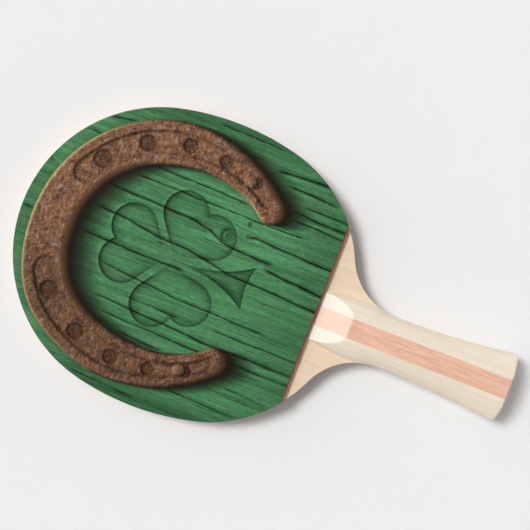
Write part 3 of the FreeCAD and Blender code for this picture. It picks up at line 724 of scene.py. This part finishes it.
class Handle:
    """Shape of the front handle scale, measured from its CAD strips. Heights are from mid-blade."""

    def __init__(self):
        low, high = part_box("front_handle_centre_strip")
        self.middle = (high.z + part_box("back_handle_centre_strip")[0].z) / 2
        self.joint = high.y
        self.blade = low.z - self.middle
        self.flat = high.z - self.middle
        centre = vertex_places("front_handle_centre_strip")
        self.ramp_end = centre[centre[:, 2] > high.z - 0.01 * MM, 0].min()
        self.toe = centre[centre[:, 0] < low.x + 0.01 * MM, 2].max() - self.middle
        butt_turn = np.linspace(0.0, math.pi / 2, 8)[1:]
        straight = np.linspace(low.x, high.x - BUTT_ROUNDING, HANDLE_STATIONS)
        rounding = high.x - BUTT_ROUNDING * (1 - np.sin(butt_turn))
        self.stations = np.concatenate([straight, rounding])
        self.inset = np.concatenate([0 * straight, BUTT_ROUNDING * (1 - np.cos(butt_turn))])
        self.half_width = self.measure_plan(straight)

    def measure_plan(self, straight):
        """Half width at mid-height at each station; past the last straight one it runs on."""
        stations, reach = half_widths("front_handle_left_strip", self.blade + self.middle)
        sound = stations < straight[-1]
        plan = smoothed(np.interp(straight, stations[sound], reach[sound]))
        before = -9
        flare = (plan[-1] - plan[before]) / (straight[-1] - straight[before])
        plan = np.append(plan, plan[-1] + flare * (self.stations[len(straight):] - straight[-1]))
        return plan / math.sqrt(1 - (self.blade / OVAL_HALF_HEIGHT) ** 2)

    def ramp(self, x):
        """Height of the planed ramp at its front end."""
        climb = (self.flat - self.toe) / (self.ramp_end - self.stations[0])
        return np.asarray(self.toe + climb * (x - self.stations[0]))

    def top(self, index, oval):
        """Height of the finished scale at a station where the bare oval has that height."""
        limit = soft_least(self.ramp(self.stations[index]), self.flat, SANDED_EDGE)
        return np.maximum(soft_least(oval, limit - self.inset[index], SANDED_EDGE), self.blade)

    def section(self, index, side):
        """Outline of one strip at a station, from its inner foot over the top to its outer foot."""
        half_width = self.half_width[index] - self.inset[index]
        half_height = OVAL_HALF_HEIGHT - self.inset[index]
        if side:
            turn = np.linspace(math.acos(self.joint / half_width),
                               math.asin(self.blade / half_height), SIDE_POINTS)
            across = half_width * np.cos(turn)
            height = self.top(index, half_height * np.sin(turn))
            height[-1] = self.blade
            return np.array([(self.joint, self.blade), *zip(across, height)])
        across = np.linspace(-self.joint, self.joint, TOP_POINTS)
        height = self.top(index, half_height * np.sqrt(1 - (across / half_width) ** 2))
        feet = [(-self.joint, self.blade), (self.joint, self.blade)]
        return np.array([feet[0], *zip(across, height), feet[1]])

    def strip(self, side, face):
        """Points and faces of one strip: side -1, 0 or 1 across the width, face 1 front, -1 back."""
        sections = [self.section(index, side) for index in range(len(self.stations))]
        rows, columns = len(sections), len(sections[0])
        mirror_y = -1 if side < 0 else 1
        points = np.array([
            (station, mirror_y * y, self.middle + face * z)
            for station, section in zip(self.stations, sections) for y, z in section])
        index = np.arange(rows * columns).reshape(rows, columns)
        closed = np.column_stack([index, index[:, 0]])
        sides = quads(closed[:-1, :-1], closed[:-1, 1:], closed[1:, 1:], closed[1:, :-1])
        faces = [*sides, index[0, ::-1].tolist(), index[-1].tolist()]
        if mirror_y * face < 0:
            faces = [face_points[::-1] for face_points in faces]
        return points, faces


def make_handle():
    handle = Handle()
    names = {-1: "right", 0: "centre", 1: "left"}
    for face, face_name in ((1, "front"), (-1, "back")):
        for side, side_name in names.items():
            points, faces = handle.strip(side, face)
            slot = "pale_handle_wood" if side else "red_handle_wood"
            node = "%s_handle_%s_strip" % (face_name, side_name)
            piece = new_piece("%s_scale_%s" % (face_name, side_name), points, faces, slot, node)
            # The ramps carry a painted highlight: these points get the paler colour that stands in
            # for the light falling on them.
            ramp = np.minimum(handle.ramp(points[:, 0]), handle.flat)
            below_ramp = ramp - np.abs(points[:, 2] - handle.middle)
            ahead = points[:, 0] < handle.ramp_end - 0.05 * MM
            planed = ahead & (below_ramp < 0.15 * MM)
            set_attribute(piece.data, "ramp_highlight", planed.astype(float))
            piece.data.shade_smooth()
            piece.data.set_sharp_from_angle(angle=math.radians(24))
    return handle


def round_edges(node, radius):
    """Soften a CAD plate's sharp edges, as sanding does."""
    weld = nodes[node].modifiers.new("weld", "WELD")
    weld.merge_threshold = 0.001 * MM
    bevel = nodes[node].modifiers.new("sanded_edges", "BEVEL")
    bevel.width = radius
    bevel.segments = 3
    bevel.limit_method = "ANGLE"
    bevel.angle_limit = math.radians(60)


# ---------------------------------------------------------------- the print's material

def plank_colour(tree):
    """Weathered green paint on old planks, with their cracks and the horseshoe's shadow."""
    grain = tree.attribute("grain", "Vector")
    coarse = tree.noise(tree.stretch(grain, (0.035, 1.1, 1.0)), 0.35, 3.0, 0.55, 0.4)
    medium = tree.noise(tree.stretch(grain, (0.08, 1.2, 1.0)), 1.0, 4.0, 0.6, 0.3)
    fine = tree.noise(tree.stretch(grain, (0.35, 2.4, 1.0)), 1.0, 3.0, 0.65)
    worn = tree.noise(tree.stretch(grain, (0.045, 0.16, 1.0)), 1.0, 5.0, 0.6, 0.5)
    green = tree.mix(tree.span(coarse, 0.34, 0.66), paint(60, 107, 69), paint(80, 139, 92))
    green = tree.mix(tree.span(worn, 0.5, 0.72, 0.0, 0.5), green, paint(88, 120, 90))
    tone = tree.maths("MULTIPLY", tree.span(medium, 0.3, 0.7, 0.90, 1.10),
                      tree.span(fine, 0.3, 0.7, 0.85, 1.15))
    edge_lit = tree.span(tree.attribute("lit"), 0.0, 1.0, 1.0, 1.16)
    gap = tree.span(tree.attribute("crack"), 0.0, 1.0, 1.0, 0.14)
    for part in (tree.attribute("deck_light"), edge_lit, gap):
        tone = tree.maths("MULTIPLY", tone, part)
    return tree.mix(tree.attribute("shadow"), tree.tone(green, tone), paint(25, 19, 13))


def rust_colour(tree):
    """Rusty iron: blotches, pale specks, orange and dark pits, and the painted light on it."""
    place = tree.add("ShaderNodeVectorMath", {0: tree.place(), 1: (1 / MM, 1 / MM, 0)},
                     operation="MULTIPLY").outputs["Vector"]
    blotch = tree.noise(place, 0.12, 3.0, 0.6, 0.3)
    speck = tree.noise(place, 0.26, 4.0, 0.7)
    pit = tree.noise(tree.stretch(place, (1, 1, 1), (31, 7, 0)), 0.30, 4.0, 0.75)
    rust = tree.mix(tree.span(blotch, 0.36, 0.64), paint(106, 76, 60), paint(130, 92, 62))
    rust = tree.mix(tree.span(speck, 0.51, 0.65, 0.0, 0.70), rust, paint(150, 126, 116))
    rust = tree.mix(tree.span(pit, 0.54, 0.66, 0.0, 0.55), rust, paint(154, 106, 62))
    rust = tree.mix(tree.span(pit, 0.48, 0.36, 0.0, 0.80), rust, paint(64, 42, 32))
    wall, glint = tree.attribute("wall"), tree.attribute("glint")
    rust = tree.mix(tree.maths("MULTIPLY", wall, 0.85), rust, paint(96, 69, 42))
    rust = tree.mix(tree.maths("MULTIPLY", glint, 0.9), rust, paint(160, 145, 102))
    rust = tree.mix(tree.attribute("gloom"), rust, paint(50, 33, 18))
    smooth = tree.maths("ADD", wall, glint)
    bumps = tree.mix_number(smooth, tree.lumps(place, 0.50, 0.20), 1.0)
    return tree.tone(rust, tree.maths("MULTIPLY", tree.attribute("shoe_light"), bumps))


def printed_ink():
    """The picture in dull ink: the horseshoe's iron inside its edge, and planks elsewhere."""
    tree = Tree("printed_ink")
    iron = tree.span(tree.attribute("shoe_edge"), 0.12, -0.12)
    return tree.finish(tree.mix(iron, plank_colour(tree), rust_colour(tree)), 0.5, 0.05)


# ---------------------------------------------------------------- stage

VIEW_WIDTH = 261.8 * MM             # what the picture spans at the level of the printed face
VIEW_CENTRE = (-5.2 * MM, 14.0 * MM)
CAMERA_HEIGHT = 0.5                 # above the printed face
CAMERA_ROLL = math.radians(21.1)
FLOOR_RADIUS = 2.6
FLOOR_SIDES, FLOOR_RINGS, WALL_RINGS = 96, 6, 12
WALL_HEIGHT = 1.6
SUN_AZIMUTH = math.radians(169)
KEY_SUN = {"elevation": 60, "angle": 16, "energy": 2.08}
SOFT_SUN = {"elevation": 55, "angle": 80, "energy": 0.95}
WORLD_STRENGTH = 0.11
WALL_GLOW = 0.5


def make_camera():
    data = bpy.data.cameras.new("camera")
    data.lens = data.sensor_width * CAMERA_HEIGHT / VIEW_WIDTH
    data.clip_start = 0.01
    camera = bpy.data.objects.new("camera", data)
    camera.location = (*VIEW_CENTRE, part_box("front_print")[1].z + CAMERA_HEIGHT)
    camera.rotation_euler = (0, 0, CAMERA_ROLL)
    bpy.context.scene.collection.objects.link(camera)
    bpy.context.scene.camera = camera


def make_sun(name, elevation, angle, energy):
    """A soft sun on the tip's side. Elevation and the angle that it fills are in degrees."""
    data = bpy.data.lights.new(name, "SUN")
    data.energy = energy
    data.angle = math.radians(angle)
    sun = bpy.data.objects.new(name, data)
    height = math.radians(elevation)
    toward = Vector((math.cos(height) * math.cos(SUN_AZIMUTH),
                     math.cos(height) * math.sin(SUN_AZIMUTH),
                     math.sin(height)))
    sun.rotation_euler = toward.to_track_quat("Z", "Y").to_euler()
    bpy.context.scene.collection.objects.link(sun)


def make_lights():
    world = bpy.data.worlds.new("studio")
    world.use_nodes = True
    background = world.node_tree.nodes["Background"]
    background.inputs["Color"].default_value = (0.985, 0.99, 1.0, 1.0)
    background.inputs["Strength"].default_value = WORLD_STRENGTH
    bpy.context.scene.world = world
    make_sun("key", **KEY_SUN)
    make_sun("soft", **SOFT_SUN)


def floor_material():
    """Pale matt paper. Where it turns up into the wall it glows a little, as a lit backdrop does."""
    tree = Tree("floor")
    place = tree.place()
    mottle = tree.noise(place, 60.0, 3.0)
    height = tree.add("ShaderNodeSeparateXYZ", {"Vector": place}).outputs["Z"]
    tree.shader.inputs["Emission Color"].default_value = (1.0, 1.0, 1.0, 1.0)
    tree.plug(tree.shader.inputs["Emission Strength"],
              tree.span(height, 0.15, 0.7 * WALL_HEIGHT, 0.0, WALL_GLOW))
    colour = tree.mix(mottle, (0.834, 0.834, 0.835), (0.844, 0.844, 0.845))
    return tree.finish(colour, 0.8, 0.2)


def make_floor(handle_ramp_end):
    """A pale floor that curves up into a wall far behind. The paddle lies on it as it would by
    itself: on the head's far edge and on the end of the back scale's ramp."""
    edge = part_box("back_topsheet")[0]
    slope = edge.z / (handle_ramp_end - edge.x)
    climb = np.linspace(0.0, math.pi / 2, WALL_RINGS)[1:]
    level = np.linspace(0.5, FLOOR_RADIUS, FLOOR_RINGS)
    reach = np.concatenate([level, FLOOR_RADIUS + WALL_HEIGHT * np.sin(climb)])
    rise = np.concatenate([0 * level, WALL_HEIGHT * (1 - np.cos(climb))])
    turn = np.arange(FLOOR_SIDES) / FLOOR_SIDES * 2 * math.pi
    x = np.outer(reach, np.cos(turn))
    y = np.outer(reach, np.sin(turn))
    z = rise[:, None] + slope * (handle_ramp_end - x)
    points = np.stack([x.ravel(), y.ravel(), z.ravel()], axis=1)
    index = np.arange(x.size).reshape(x.shape)
    inner, outer = index[:-1], index[1:]
    rings = quads(inner, outer, np.roll(outer, -1, axis=1), np.roll(inner, -1, axis=1))
    mesh = bpy.data.meshes.new("floor")
    mesh.from_pydata(points.tolist(), [], [*rings, index[0].tolist()])
    mesh.materials.append(floor_material())
    mesh.shade_smooth()
    floor = bpy.data.objects.new("floor", mesh)
    bpy.context.scene.collection.objects.link(floor)


# ---------------------------------------------------------------- build

materials = make_materials()
materials["printed_ink"] = printed_ink()
for node in nodes.values():
    for holder in node.material_slots:
        holder.material = materials[holder.material.name]
for name in ("front_face_ply", "back_face_ply"):
    round_edges(name, 0.3 * MM)
make_printed_face()
handle = make_handle()
make_floor(handle.ramp_end)
make_lights()
make_camera()
bpy.context.scene.view_settings.view_transform = "Standard"
